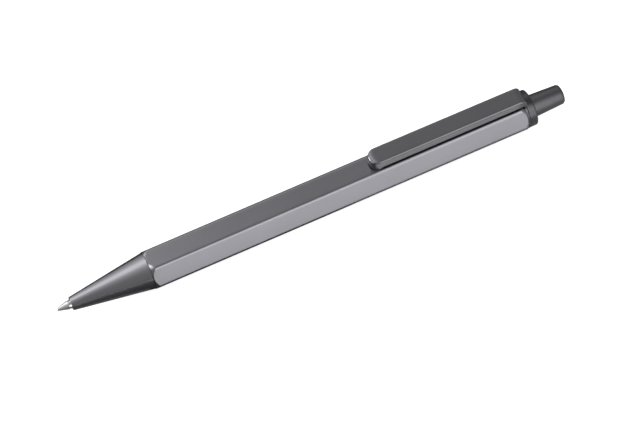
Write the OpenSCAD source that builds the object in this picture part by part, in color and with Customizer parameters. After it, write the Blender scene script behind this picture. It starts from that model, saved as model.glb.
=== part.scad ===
// A push-button ballpoint pen with a six-sided metal barrel, in the writing position.
// The pen lies along X with its tip towards -X, on the lower flat of the barrel, with the clip on top.
// The origin is on that flat, half way along the whole pen. All sizes are in millimetres.
// Stations along the pen are measured from the front of the ball and have names that end in _at.

/* [Barrel] */
// Width of the six-sided barrel across its flats
barrel_af = 9.6; // [9.2:0.1:10.2]
// Length of the barrel
barrel_length = 100.85; // [92:0.05:110]
// Radius of the six long edges
barrel_edge_r = 0.45; // [0.2:0.05:0.8]
// How far the turned bevel at each end reaches back along the long edges
barrel_bevel = 1.0; // [0.6:0.1:1.5]
// How far the edge of each turned end face lies inside the flats
barrel_face_inset = 0.05; // [0.02:0.01:0.1]
// Step from the bore of the barrel up to the seat of the guide sleeve
sleeve_seat_step = 0.2; // [0.15:0.05:0.3]

/* [Threads] */
// Step from the seat of the guide sleeve up to the threads
thread_step = 0.4; // [0.3:0.05:0.45]
// Pitch of the threads on the nose cone and on the rear collar
thread_pitch = 0.75; // [0.6:0.05:0.85]
// Depth of the thread grooves
thread_depth = 0.2; // [0.12:0.02:0.24]
// Radial clearance between a threaded spigot and the barrel
thread_clearance = 0.05; // [0.03:0.01:0.08]
// Room past the end of each threaded spigot
thread_runout = 0.5; // [0.3:0.1:0.8]
// Width of the plain neck between a thread and its shoulder
thread_neck = 0.7; // [0.5:0.1:0.9]

/* [Nose cone] */
// Length of the nose cone in front of the barrel
nose_length = 20.3; // [18:0.05:24]
// How far the base of the nose cone lies inside the flats
nose_inset = 0.1; // [0.05:0.01:0.2]
// Diameter of the front rim
nose_rim_d = 3.5; // [3.3:0.05:3.8]
// Radius of the edge of the front rim
nose_rim_round = 0.3; // [0.15:0.05:0.35]
// Radial clearance between the point of the refill and its hole
point_clearance = 0.1; // [0.06:0.01:0.14]
// Length of the narrow hole behind the front rim
point_hole_length = 4.5; // [4:0.1:5]
// Depth of the spring's seat behind the front rim
spring_seat_depth = 11.0; // [10.5:0.1:12]
// Length of the threaded spigot behind the nose cone
nose_spigot_length = 7.0; // [6:0.1:8]

/* [Clip] */
// Width of the clip
clip_width = 4.75; // [4:0.05:5.5]
// Length of the clip from its free end to the back of its leg
clip_length = 42.05; // [36:0.05:46]
// Thickness of the clip's sheet
clip_sheet = 0.6; // [0.5:0.05:0.7]
// Height of the clip's top above the flat of the barrel, at the leg
clip_top_height = 2.9; // [2.6:0.05:3.4]
// How much higher the clip's top is at its free end
clip_rise = 0.25; // [0:0.05:0.4]
// Height of the sides that are turned down along the clip
clip_side_height = 2.15; // [1.8:0.05:2.4]
// Radius of the long top edges
clip_edge_r = 0.4; // [0.2:0.05:0.5]
// Radius of the two corners of the free end, seen from above
clip_corner_r = 1.35; // [0.8:0.05:1.8]
// Radius of the bend where the free end turns down
clip_nose_r = 1.2; // [0.8:0.05:1.5]
// Outer radius of the bend between the clip's top and its leg
clip_bend_r = 1.0; // [0.8:0.05:1.2]
// Length of the foot that bears on the barrel
clip_foot_length = 1.5; // [1.2:0.05:2]
// Gap between the resting foot and the barrel
clip_foot_gap = 0.03; // [0.02:0.01:0.06]
// How far the edge of the clip's ring lies inside the flats
clip_ring_inset = 0.1; // [0.05:0.01:0.2]

/* [Rear collar] */
// Length of the collar's head behind the clip's ring
collar_head = 2.05; // [1.3:0.05:2.4]
// How far the collar's head lies inside the flats
collar_inset = 0.15; // [0.03:0.01:0.25]
// Radius of the rear edge of the collar's head
collar_round = 0.3; // [0.1:0.05:0.5]
// Length of the collar's spigot inside the barrel
collar_grip = 7.25; // [6.8:0.05:8]

/* [Push button] */
// Diameter of the button where it slides in the collar
button_d = 5.8; // [5.5:0.05:6]
// Diameter at the end of the button
button_end_d = 5.1; // [4.8:0.05:5.4]
// Length of the button that stands out of the collar in the writing position
button_show = 8.8; // [7.5:0.1:10.5]
// Radius of the edge at the end of the button
button_round = 0.8; // [0.4:0.05:1.1]
// Height of the dome on the end of the button
button_dome = 0.12; // [0.05:0.01:0.2]
// Wall of the button
button_wall = 0.75; // [0.6:0.05:0.8]
// Step of the flange that keeps the button in the collar
flange_step = 0.38; // [0.3:0.02:0.4]
// Thickness of that flange
flange_thickness = 0.7; // [0.5:0.05:0.9]
// Radial clearance of the button and of its flange in the collar
slide_clearance = 0.07; // [0.04:0.01:0.1]
// Travel from the writing position back to the retracted position
retract_travel = 5.2; // [4.8:0.1:5.6]
// Further travel when the button is pressed right in
over_travel = 1.2; // [0.9:0.1:1.4]
// Gap left at each stop
stop_gap = 0.1; // [0.06:0.02:0.14]

/* [Click mechanism] */
// Length of the guide sleeve
sleeve_length = 17.5; // [16.5:0.1:19]
// Wall of the guide sleeve
sleeve_wall = 0.8; // [0.6:0.05:0.9]
// Length of the ribs inside the guide sleeve
rib_length = 7.0; // [6.6:0.1:7.4]
// Plain length behind the ribs
rib_setback = 0.6; // [0.4:0.1:1.4]
// Width of the slots between the ribs
slot_width = 1.4; // [1.3:0.05:1.6]
// Clearance of the lugs and fins on each side in the slots
slot_clearance = 0.15; // [0.1:0.01:0.2]
// Radial clearance of the rotor and the plunger in the guide sleeve
rotor_clearance = 0.1; // [0.06:0.01:0.14]
// Number of ribs, of lugs and of fins
cam_count = 4; // [4]
// Length of the rotor without its stem
rotor_length = 5.9; // [5.6:0.1:6.4]
// Wall of the rotor round the end of the refill
rotor_wall = 0.4; // [0.35:0.01:0.45]
// Depth of the rotor's socket for the refill
socket_depth = 3.0; // [2.4:0.1:3.2]
// Height of the lugs and fins above the rotor and the plunger
lug_height = 0.6; // [0.5:0.02:0.66]
// Length of the lugs
lug_length = 3.0; // [2.6:0.1:3.2]
// Gap between the lugs and the ledges of the ribs in the writing position
ledge_gap = 0.3; // [0.2:0.02:0.4]
// Depth of the teeth on the rotor and the plunger
tooth_depth = 0.7; // [0.5:0.05:0.8]
// Gap between the tips of the two rings of teeth in the writing position
mesh_gap = 0.2; // [0.15:0.01:0.3]
// Diameter of the rotor's stem
stem_d = 1.8; // [1.5:0.05:2]
// Length of the rotor's stem behind the roots of the teeth
stem_length = 3.0; // [2.4:0.1:3.4]
// Length of the plunger's fins
fin_length = 6.0; // [5.4:0.1:6.2]
// Length of the plunger's boss inside the button
boss_length = 7.0; // [5:0.1:8]

/* [Return spring] */
// Diameter of the spring's wire
wire_d = 0.35; // [0.3:0.01:0.4]
// Mean diameter of the spring's coil
coil_d = 4.1; // [4.05:0.01:4.15]
// Length of the spring in the writing position
spring_length = 16.5; // [15:0.1:18]
// Number of turns in the spring
spring_turns = 10; // [9:1:11]
// Pitch of the closed turn at each end of the spring
end_pitch = 0.8; // [0.78:0.01:0.9]
// Radial clearance round the spring and the refill in the nose cone
spring_clearance = 0.17; // [0.15:0.01:0.2]
// Gap between each end of the spring and its seat
spring_gap = 0.05; // [0.02:0.01:0.1]

/* [Refill] */
// Diameter of the refill's tube
refill_d = 3.2; // [3.1:0.05:3.3]
// Wall of the refill's tube
tube_wall = 0.15; // [0.12:0.01:0.2]
// How far the ball stands in front of the nose cone in the writing position
point_reach = 3.7; // [3.4:0.1:4.4]
// Diameter of the ball
ball_d = 0.8; // [0.6:0.05:1]
// Share of the ball's diameter that stands out of its socket
ball_show_share = 0.35; // [0.3:0.01:0.4]
// Clearance between the ball and its socket
ball_clearance = 0.012; // [0.01:0.001:0.02]
// Width of the lip round the ball
ball_lip = 0.05; // [0.04:0.01:0.07]
// Length of the point from the front of the ball to the end of its cone
point_cone_length = 3.2; // [2.9:0.05:3.4]
// Diameter of the point's shank
point_d = 2.3; // [2.2:0.02:2.4]
// Length of the shank from the cone to the neck of the refill
shank_length = 7.4; // [7.2:0.1:8.4]
// Diameter of the ink channel in the shank
channel_d = 1.0; // [0.8:0.05:1.2]
// Length of the tapered neck
neck_length = 1.4; // [1:0.05:2]
// Length of the neck's spigot inside the tube
neck_grip = 3.5; // [2.5:0.1:5]
// How much of the tube's length behind the neck the ink fills
ink_share = 0.8; // [0.3:0.05:0.95]
// Height of the two pairs of ears that are pinched out of the tube
ear_height = 0.62; // [0.58:0.01:0.64]
// Length of the ears
ear_length = 1.4; // [1:0.1:2]
// Thickness of the ears
ear_thickness = 0.5; // [0.4:0.05:0.7]
// Length of the end plug inside the tube
plug_grip = 3.0; // [2:0.1:4]
// Length of the end plug's head
plug_head = 0.6; // [0.4:0.05:0.8]
// Diameter of the air hole through the end plug
air_hole_d = 0.6; // [0.4:0.05:0.8]

/* [Hidden] */

$fn = 64;

// Overrun of every cut past the face that it opens
cut = 0.5;
// Gap between pieces that are pressed together
press_gap = 0.01;
// Gap between the end of the refill and the floor of the rotor's socket
seat_gap = 0.02;
// Bevel at the mouth of a bore
mouth_bevel = 0.15;
// Share of the threads' pitch that each flank takes
thread_flank_share = 0.4;

anodised = [0.42, 0.42, 0.44];
dark_anodised = [0.34, 0.34, 0.36];
black_plastic = [0.09, 0.09, 0.1];
spring_steel = [0.72, 0.73, 0.75];
bright_metal = [0.8, 0.79, 0.76];
brass = [0.72, 0.58, 0.3];
ink_blue = [0.05, 0.08, 0.3];
natural_plastic = [0.86, 0.87, 0.85];

// Stations along the pen, from the front of the ball
nose_front_at = point_reach;
joint_at = nose_front_at + nose_length;
spigot_end_at = joint_at + nose_spigot_length;
spring_seat_at = nose_front_at + spring_seat_depth;
spring_front_at = spring_seat_at + spring_gap;
ears_at = spring_front_at + spring_length + spring_gap;
barrel_end_at = joint_at + barrel_length;
ring_back_at = barrel_end_at + clip_sheet;
collar_back_at = ring_back_at + collar_head;
pen_length = collar_back_at + button_show;
collar_front_at = barrel_end_at - collar_grip;
sleeve_front_at = collar_front_at - sleeve_length;
ribs_back_at = collar_front_at - rib_setback;
ledge_at = ribs_back_at - rib_length;
flange_at = collar_front_at + over_travel + stop_gap;
collar_lip_at = flange_at + flange_thickness + retract_travel + stop_gap;
lugs_back_at = ledge_at - ledge_gap;
rotor_front_at = lugs_back_at - rotor_length;
socket_floor_at = rotor_front_at + socket_depth;
teeth_root_at = lugs_back_at - tooth_depth;
plunger_front_at = lugs_back_at + mesh_gap;
fins_front_at = plunger_front_at + tooth_depth;
cone_end_at = point_cone_length;
neck_front_at = cone_end_at + shank_length;
tube_front_at = neck_front_at + neck_length;
refill_back_at = socket_floor_at - seat_gap;
tube_back_at = refill_back_at - plug_head;
neck_back_at = tube_front_at + neck_grip;
clip_free_at = ring_back_at - clip_length;
clip_leg_at = barrel_end_at;
// Angle at which the bend of the clip passes from the arm into the leg
bend_split = asin(1 - clip_sheet / clip_bend_r);

// Radii, from the refill outwards
refill_r = refill_d / 2;
rotor_r = refill_r + press_gap + rotor_wall;
lug_r = rotor_r + lug_height;
rib_r = rotor_r + rotor_clearance;
sleeve_bore_r = lug_r + rotor_clearance;
sleeve_r = sleeve_bore_r + sleeve_wall;
seat_r = sleeve_r + press_gap;
bore_r = seat_r - sleeve_seat_step;
thread_r = seat_r + thread_step;
spigot_r = thread_r - thread_clearance;
flat_r = barrel_af / 2;
axis_height = flat_r;
sharp_corner_r = flat_r / cos(30);
corner_r = sharp_corner_r - barrel_edge_r * (1 / cos(30) - 1);
face_r = flat_r - barrel_face_inset;
nose_base_r = flat_r - nose_inset;
nose_rim_r = nose_rim_d / 2;
point_r = point_d / 2;
point_hole_r = point_r + point_clearance;
neck_bore_r = refill_r + spring_clearance;
spring_bore_r = (coil_d + wire_d) / 2 + spring_clearance;
button_r = button_d / 2;
flange_r = button_r + flange_step;
button_bore_r = button_r - button_wall;
collar_bore_r = button_r + slide_clearance;
flange_bore_r = flange_r + slide_clearance;
collar_r = flat_r - collar_inset;
ring_r = flat_r - clip_ring_inset;
tube_bore_r = refill_r - tube_wall;
tube_fit_r = tube_bore_r - press_gap;
ball_r = ball_d / 2;
channel_r = channel_d / 2;
lug_width = slot_width - 2 * slot_clearance;

// Heights of the clip above the axis of the pen
clip_top_at = flat_r + clip_top_height;
clip_side_at = clip_top_at - clip_side_height;
clip_foot_at = flat_r + clip_foot_gap;

// Points along an arc, counted in steps
function arc(centre, r, from, to, steps = 6) = [for (i = [0:steps])
    let (a = from + (to - from) * i / steps)
    [centre[0] + r * cos(a), centre[1] + r * sin(a)]];

// Outline of a six-sided bar with rounded edges, with a flat on each side of the first axis
function six_sided(flat, round_r) = [for (side = [0:5])
    let (corner = 30 + 60 * side, reach = (flat - round_r) / cos(30))
    each arc([reach * cos(corner), reach * sin(corner)], round_r, corner - 30, corner + 30, 4)];

// Zigzag side of a threaded spigot, as [radius, station] points from one end to the other
function thread_side(from, to) =
    let (count = floor((to - from) / thread_pitch), pitch = (to - from) / count,
        root_r = spigot_r - thread_depth)
    [for (i = [0:count - 1]) each
        [[root_r, from + pitch * i], [spigot_r, from + pitch * (i + thread_flank_share)],
            [spigot_r, from + pitch * (i + 1 - thread_flank_share)],
            [root_r, from + pitch * (i + 1)]]];

// Puts what is drawn along Z, from the front of the ball, on the axis of the pen
module on_axis() {
    translate([-pen_length / 2, 0, axis_height]) rotate([0, 90, 0]) children();
}

// A turned piece from its [radius, station] outline
module turned(outline) {
    rotate_extrude() polygon(outline);
}

// A block with a given outline across and along the pen, from one radius out to another
module radial_block(outline, from_r, to_r) {
    translate([from_r, 0, 0]) rotate([90, 0, 90]) linear_extrude(to_r - from_r) polygon(outline);
}

// Repeats something round the axis
module around(count, start = 0) {
    for (i = [0:count - 1]) rotate([0, 0, start + 360 * i / count]) children();
}

// Six-sided tube with turned ends, a thread at each end and a seat for the guide sleeve
module barrel() {
    slope = barrel_bevel / (corner_r - face_r);
    reach = corner_r + cut - face_r;
    color(anodised) on_axis() difference() {
        intersection() {
            translate([0, 0, joint_at])
                linear_extrude(barrel_length) polygon(six_sided(flat_r, barrel_edge_r));
            turned([[0, joint_at], [face_r, joint_at], [face_r + reach, joint_at + slope * reach],
                [face_r + reach, barrel_end_at - slope * reach], [face_r, barrel_end_at],
                [0, barrel_end_at]]);
        }
        turned([[0, joint_at - cut], [thread_r + mouth_bevel, joint_at - cut],
            [thread_r + mouth_bevel, joint_at], [thread_r, joint_at + mouth_bevel],
            [thread_r, spigot_end_at + thread_runout], [bore_r, spigot_end_at + thread_runout],
            [bore_r, sleeve_front_at], [seat_r, sleeve_front_at],
            [seat_r, collar_front_at - thread_runout], [thread_r, collar_front_at - thread_runout],
            [thread_r, barrel_end_at - mouth_bevel], [thread_r + mouth_bevel, barrel_end_at],
            [thread_r + mouth_bevel, barrel_end_at + cut], [0, barrel_end_at + cut]]);
    }
}

// Tapered front with the hole for the point, the spring's seat and a threaded spigot
module nose_cone() {
    color(anodised) on_axis() turned(concat(
        [[point_hole_r, nose_front_at]],
        arc([nose_rim_r - nose_rim_round, nose_front_at + nose_rim_round], nose_rim_round, -90, 0),
        [[nose_base_r, joint_at], [spigot_r - thread_depth, joint_at]],
        thread_side(joint_at + thread_neck, spigot_end_at),
        [[spring_bore_r, spigot_end_at], [spring_bore_r, spring_seat_at],
            [neck_bore_r, spring_seat_at], [neck_bore_r, nose_front_at + point_hole_length],
            [point_hole_r, nose_front_at + point_hole_length]]));
}

// Ring that is held between the barrel and the collar, with the leg that carries the clip
module clip_ring() {
    color(dark_anodised) on_axis() difference() {
        union() {
            translate([0, 0, clip_leg_at]) cylinder(r = ring_r, h = clip_sheet);
            intersection() {
                translate([-clip_top_at, -clip_width / 2, clip_leg_at])
                    cube([clip_top_at, clip_width, clip_sheet]);
                translate([0, 0, clip_leg_at]) linear_extrude(clip_sheet) polygon(concat(
                    arc([-clip_top_at + clip_edge_r, clip_width / 2 - clip_edge_r], clip_edge_r, 90, 180),
                    arc([-clip_top_at + clip_edge_r, clip_edge_r - clip_width / 2], clip_edge_r, 180, 270),
                    [[0, -clip_width / 2], [0, clip_width / 2]]));
                rotate([90, 0, 0]) translate([0, 0, -clip_width / 2 - cut])
                    linear_extrude(clip_width + 2 * cut) polygon(concat(
                        arc([clip_bend_r - clip_top_at, ring_back_at - clip_bend_r], clip_bend_r,
                            180 - bend_split, 90),
                        [[0, ring_back_at], [0, clip_leg_at]]));
            }
        }
        translate([0, 0, clip_leg_at - cut]) cylinder(r = thread_r, h = clip_sheet + 2 * cut);
    }
}

// Outline of the clip across the pen, with rounded top edges: [height, width] points
function clip_section(half_width, top, bottom, edge_r) = concat(
    arc([top - edge_r, half_width - edge_r], edge_r, 90, 0),
    arc([top - edge_r, edge_r - half_width], edge_r, 0, -90),
    [[bottom, -half_width], [bottom, half_width]]);

// Sprung arm: a shallow channel with a rounded free end that turns down to the barrel
module clip_arm() {
    reach = clip_leg_at - clip_free_at;
    rise_per_mm = clip_rise / reach;
    tilt = atan(clip_rise / reach);
    foot_at = clip_foot_at - clip_top_at;
    side_at = clip_side_at - clip_top_at;
    foot_slope = clip_side_at - clip_foot_at;
    slope_end = clip_foot_length + foot_slope;
    hook_r = clip_nose_r - clip_sheet;
    foot_r = clip_sheet / 2;
    // Drawn with X back from the free end and Z up from the top of the leg
    translate([clip_leg_at - pen_length / 2, 0, axis_height + clip_top_at])
    color(dark_anodised) difference() {
        intersection() {
            // Along the clip, seen from the side
            rotate([90, 0, 0]) translate([0, 0, -clip_width])
                linear_extrude(2 * clip_width) polygon(concat(
                    arc([clip_nose_r - reach, clip_rise - clip_nose_r], clip_nose_r, 180, 90, 8),
                    arc([clip_sheet - clip_bend_r, -clip_bend_r], clip_bend_r, 90, 90 - bend_split),
                    [[0, side_at]],
                    [[slope_end - reach, side_at + rise_per_mm * (reach - slope_end)],
                        [clip_foot_length - reach, foot_at]],
                    arc([foot_r - reach, foot_at + foot_r], foot_r, 270, 180, 4)));
            // Seen from above
            translate([0, 0, -2 * clip_top_height]) linear_extrude(3 * clip_top_height)
                polygon(concat([[0, clip_width / 2]],
                    arc([clip_corner_r - reach, clip_width / 2 - clip_corner_r], clip_corner_r, 90, 180),
                    arc([clip_corner_r - reach, clip_corner_r - clip_width / 2], clip_corner_r, 180, 270),
                    [[0, -clip_width / 2]]));
            // Seen from its end, tilted with the rise of the top
            rotate([0, tilt, 0]) rotate([0, -90, 0]) translate([0, 0, -cut])
                linear_extrude(reach + 2 * cut) polygon(clip_section(clip_width / 2, 0,
                    -2 * clip_top_height, clip_edge_r));
        }
        // Hollow under the top, open below and at the leg
        intersection() {
            rotate([90, 0, 0]) translate([0, 0, -clip_width])
                linear_extrude(2 * clip_width) polygon(concat(
                    arc([clip_nose_r - reach, clip_rise - clip_nose_r], hook_r, 180, 90, 8),
                    arc([clip_sheet - clip_bend_r, -clip_bend_r], clip_bend_r - clip_sheet, 90, 0),
                    [[cut, -clip_bend_r], [cut, -2 * clip_top_height],
                        [clip_sheet - reach, -2 * clip_top_height]]));
            translate([-reach - cut, clip_sheet - clip_width / 2, -2 * clip_top_height])
                cube([reach + 2 * cut, clip_width - 2 * clip_sheet, 3 * clip_top_height]);
        }
    }
}

// Screwed in behind the clip's ring: it guides the button and holds the guide sleeve
module rear_collar() {
    color(dark_anodised) on_axis() turned(concat(
        [[flange_bore_r, collar_front_at]],
        thread_side(collar_front_at, barrel_end_at - thread_neck),
        [[spigot_r - thread_depth, ring_back_at], [collar_r, ring_back_at]],
        arc([collar_r - collar_round, collar_back_at - collar_round], collar_round, 0, 90),
        [[collar_bore_r + mouth_bevel, collar_back_at], [collar_bore_r, collar_back_at - mouth_bevel],
            [collar_bore_r, collar_lip_at], [flange_bore_r, collar_lip_at]]));
}

// Hollow metal button, slightly tapered, with a flange that keeps it in the collar
module push_button() {
    end_r = button_end_d / 2;
    crown_r = end_r - button_round;
    dome_from = pen_length - button_dome;
    dome_r = (pow(crown_r, 2) + pow(button_dome, 2)) / (2 * button_dome);
    dome_angle = asin(crown_r / dome_r);
    color(dark_anodised) on_axis() turned(concat(
        [[button_bore_r, flange_at], [flange_r, flange_at], [flange_r, flange_at + flange_thickness],
            [button_r, flange_at + flange_thickness], [button_r, collar_back_at]],
        arc([crown_r, dome_from - button_round], button_round, 0, 90),
        [for (i = [1:5]) let (a = dome_angle * (1 - i / 5))
            [dome_r * sin(a), pen_length - dome_r + dome_r * cos(a)]],
        [[0, dome_from - button_wall - button_round],
            [button_bore_r, dome_from - button_wall - button_round]]));
}

// A ring of pointed teeth cut into the end of a piece: the notches, from their roots to a face
module tooth_notches(root_at, face_at) {
    half_notch = rotor_r * sin(180 / (2 * cam_count));
    depth = face_at - root_at;
    around(2 * cam_count) radial_block([[0, root_at], [half_notch, face_at],
        [half_notch, face_at + sign(depth) * cut], [-half_notch, face_at + sign(depth) * cut],
        [-half_notch, face_at]], 0, rotor_r + cut);
}

// Toothed plunger that is pressed into the button and slides in the slots of the guide sleeve
module plunger() {
    boss_r = button_bore_r - press_gap;
    stem_bore_r = stem_d / 2 + rotor_clearance;
    fin = [[-lug_width / 2, fins_front_at], [lug_width / 2, fins_front_at],
        [lug_width / 2, fins_front_at + fin_length], [-lug_width / 2, fins_front_at + fin_length]];
    color(black_plastic) on_axis() difference() {
        union() {
            difference() {
                translate([0, 0, plunger_front_at])
                    cylinder(r = rotor_r, h = flange_at - plunger_front_at);
                tooth_notches(plunger_front_at + tooth_depth, plunger_front_at);
            }
            translate([0, 0, flange_at]) cylinder(r = boss_r, h = boss_length);
            intersection() {
                around(cam_count) radial_block(fin, rotor_r / 2, lug_r + cut);
                turned([[stem_bore_r, fins_front_at], [lug_r, fins_front_at],
                    [lug_r, fins_front_at + fin_length], [stem_bore_r, fins_front_at + fin_length]]);
            }
        }
        translate([0, 0, plunger_front_at - cut])
            cylinder(r = stem_bore_r, h = stem_length + tooth_depth + cut);
    }
}

// Fixed sleeve whose ribs guide the plunger, and whose slanted ledges turn and hold the rotor
module guide_sleeve() {
    slot_half = slot_width / 2;
    ledge_half = rib_r;
    color(natural_plastic) on_axis() difference() {
        translate([0, 0, sleeve_front_at]) cylinder(r = sleeve_r, h = sleeve_length);
        turned([[0, sleeve_front_at - cut], [sleeve_bore_r, sleeve_front_at - cut],
            [sleeve_bore_r, ledge_at], [rib_r, ledge_at], [rib_r, ribs_back_at],
            [sleeve_bore_r, ribs_back_at], [sleeve_bore_r, collar_front_at + cut],
            [0, collar_front_at + cut]]);
        intersection() {
            union() {
                around(cam_count) radial_block([[-slot_half, ledge_at - cut], [slot_half, ledge_at - cut],
                    [slot_half, ribs_back_at + cut], [-slot_half, ribs_back_at + cut]], 0, sleeve_r);
                around(cam_count, 180 / cam_count) radial_block([[-ledge_half, ledge_at - cut],
                    [ledge_half, ledge_at - cut], [ledge_half, ledge_at],
                    [-ledge_half, ledge_at + tooth_depth]], rib_r / 2, sleeve_r);
            }
            translate([0, 0, sleeve_front_at]) cylinder(r = sleeve_bore_r, h = sleeve_length);
        }
    }
}

// Lugged rotor that holds the end of the refill and turns one step at each click
module rotor() {
    lug = [[-lug_width / 2, lugs_back_at - lug_length], [lug_width / 2, lugs_back_at - lug_length],
        [lug_width / 2, lugs_back_at - tooth_depth / 2], [-lug_width / 2, lugs_back_at]];
    color(natural_plastic) on_axis() difference() {
        union() {
            difference() {
                translate([0, 0, rotor_front_at]) cylinder(r = rotor_r, h = rotor_length);
                tooth_notches(teeth_root_at, lugs_back_at);
            }
            translate([0, 0, teeth_root_at - cut]) cylinder(d = stem_d, h = stem_length + cut);
            intersection() {
                around(cam_count) radial_block(lug, rotor_r / 2, lug_r + cut);
                turned([[rotor_r / 2, rotor_front_at], [lug_r, rotor_front_at], [lug_r, lugs_back_at],
                    [rotor_r - wire_d, lugs_back_at], [rotor_r - wire_d, rotor_front_at + socket_depth]]);
            }
        }
        translate([0, 0, rotor_front_at - cut])
            cylinder(r = refill_r + press_gap, h = socket_depth + cut);
    }
}

// Height of the spring's wire after a number of turns, with one closed turn at each end
function wire_height(turn) = let (
    open_pitch = (spring_length - wire_d - 2 * end_pitch) / (spring_turns - 2))
    wire_d / 2 + end_pitch * min(turn, 1) + open_pitch * max(0, min(turn - 1, spring_turns - 2))
    + end_pitch * max(0, turn - spring_turns + 1);

// Return spring: one round wire wound as a coil, as an unbroken tube
module return_spring() {
    rings_per_turn = 8;
    sides = 6;
    last = rings_per_turn * spring_turns;
    centres = [for (i = [0:last]) let (turn = i / rings_per_turn)
        [coil_d / 2 * cos(360 * turn), coil_d / 2 * sin(360 * turn),
            spring_front_at + wire_height(turn)]];
    points = [for (i = [0:last], j = [0:sides - 1]) let (
        turn = i / rings_per_turn, out = 360 * turn, side = 360 * j / sides,
        climb = wire_height(min(turn + 1, spring_turns)) - wire_height(max(turn - 1, 0)),
        span = min(turn + 1, spring_turns) - max(turn - 1, 0),
        lead = atan(climb / span / (PI * coil_d)),
        outwards = [cos(out), sin(out), 0],
        upwards = [sin(lead) * sin(out), -sin(lead) * cos(out), cos(lead)])
        centres[i] + wire_d / 2 * (cos(side) * outwards + sin(side) * upwards)];
    gaps = [for (i = [0:last], k = [i + rings_per_turn / 2:1:last]) norm(centres[i] - centres[k]) - wire_d];
    echo(least_gap_between_turns = min(gaps));
    color(spring_steel) on_axis() polyhedron(points, concat(
        [[for (j = [0:sides - 1]) j]],
        [for (i = [0:last - 1], j = [0:sides - 1]) let (
            a = i * sides + j, b = i * sides + (j + 1) % sides)
            each [[a, a + sides, b], [b, a + sides, b + sides]]],
        [[for (j = [0:sides - 1]) last * sides + sides - 1 - j]]));
}

// Thin metal tube with ears pinched out of it, on which the spring bears
module refill_tube() {
    ear_half = ear_thickness / 2;
    color(bright_metal) on_axis() difference() {
        union() {
            translate([0, 0, tube_front_at])
                cylinder(r = refill_r, h = tube_back_at - tube_front_at);
            around(4) radial_block([[-ear_half, ears_at], [ear_half, ears_at],
                [ear_half, ears_at + ear_length], [-ear_half, ears_at + ear_length]],
                refill_r - tube_wall / 2, refill_r + ear_height);
        }
        translate([0, 0, tube_front_at - cut])
            cylinder(r = tube_bore_r, h = tube_back_at - tube_front_at + 2 * cut);
    }
}

// Column of ink inside the tube
module refill_ink() {
    room = tube_back_at - plug_grip - neck_back_at;
    color(ink_blue) on_axis() translate([0, 0, neck_back_at])
        cylinder(r = tube_fit_r, h = room * ink_share);
}

// Tapered neck that joins the point to the tube
module refill_neck() {
    color(brass) on_axis() turned([[point_r + press_gap, neck_front_at],
        [point_r + tube_wall, neck_front_at], [refill_r, tube_front_at],
        [tube_fit_r, tube_front_at], [tube_fit_r, neck_back_at],
        [point_r + press_gap, neck_back_at]]);
}

// Metal point with the socket of the ball and the ink channel
module refill_point() {
    socket_at = ball_d * ball_show_share;
    show = ball_r - socket_at;
    lip_r = sqrt(pow(ball_r, 2) - pow(show, 2)) + ball_clearance + ball_lip;
    feed_at = ball_d + channel_d / 2;
    color(bright_metal) on_axis() difference() {
        turned([[0, socket_at], [lip_r, socket_at], [point_r, cone_end_at],
            [point_r, neck_back_at], [0, neck_back_at]]);
        translate([0, 0, ball_r]) sphere(r = ball_r + ball_clearance);
        turned([[0, ball_r], [channel_r / 2, ball_r], [channel_r / 2, feed_at],
            [channel_r, feed_at + channel_r], [channel_r, neck_back_at + cut], [0, neck_back_at + cut]]);
    }
}

// Writing ball
module point_ball() {
    color(spring_steel) on_axis() translate([0, 0, ball_r]) sphere(r = ball_r);
}

// Plug with an air hole that closes the end of the tube
module refill_end_plug() {
    color(natural_plastic) on_axis() turned([[air_hole_d / 2, tube_back_at - plug_grip],
        [tube_fit_r, tube_back_at - plug_grip], [tube_fit_r, tube_back_at], [refill_r, tube_back_at],
        [refill_r, refill_back_at], [air_hole_d / 2, refill_back_at]]);
}

barrel();
nose_cone();
clip_ring();
clip_arm();
rear_collar();
push_button();
plunger();
guide_sleeve();
rotor();
return_spring();
refill_tube();
refill_ink();
refill_neck();
refill_point();
point_ball();
refill_end_plug();
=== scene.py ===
"""A push-button ballpoint pen with a six-sided anodised barrel, lying on a pale floor.

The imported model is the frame. The pieces that show are made again here as smooth surfaces, each a
function of two parameters on a grid. The pieces inside keep their solids and get their finish.
All lengths are in metres. The pen lies along X with its point towards -X."""
import math

import bmesh
import bpy
import numpy as np
from mathutils import Matrix, Vector


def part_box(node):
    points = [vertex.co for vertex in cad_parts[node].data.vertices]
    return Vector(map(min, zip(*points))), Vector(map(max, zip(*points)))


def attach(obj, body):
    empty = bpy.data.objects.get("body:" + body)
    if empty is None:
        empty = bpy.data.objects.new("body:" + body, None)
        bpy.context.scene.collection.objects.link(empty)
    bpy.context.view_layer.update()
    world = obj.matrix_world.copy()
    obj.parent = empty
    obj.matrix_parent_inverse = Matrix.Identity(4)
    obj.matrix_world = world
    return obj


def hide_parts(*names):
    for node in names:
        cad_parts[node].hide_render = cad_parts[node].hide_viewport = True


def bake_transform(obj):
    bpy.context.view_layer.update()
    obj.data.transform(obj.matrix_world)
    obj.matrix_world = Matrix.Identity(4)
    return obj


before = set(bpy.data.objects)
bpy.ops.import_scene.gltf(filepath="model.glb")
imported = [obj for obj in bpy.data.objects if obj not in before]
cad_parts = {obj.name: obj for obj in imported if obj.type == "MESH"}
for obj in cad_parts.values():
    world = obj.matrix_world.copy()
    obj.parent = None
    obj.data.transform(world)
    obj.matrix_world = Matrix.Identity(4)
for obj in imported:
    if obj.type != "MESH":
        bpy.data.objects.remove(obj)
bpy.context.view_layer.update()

MM = 0.001


def ends(node):
    """Front and back of a node along the pen."""
    low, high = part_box(node)
    return low.x, high.x


def half_height(node):
    """Half of the height of a node, which is its greatest radius where it is turned."""
    low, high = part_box(node)
    return (high.z - low.z) / 2


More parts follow.
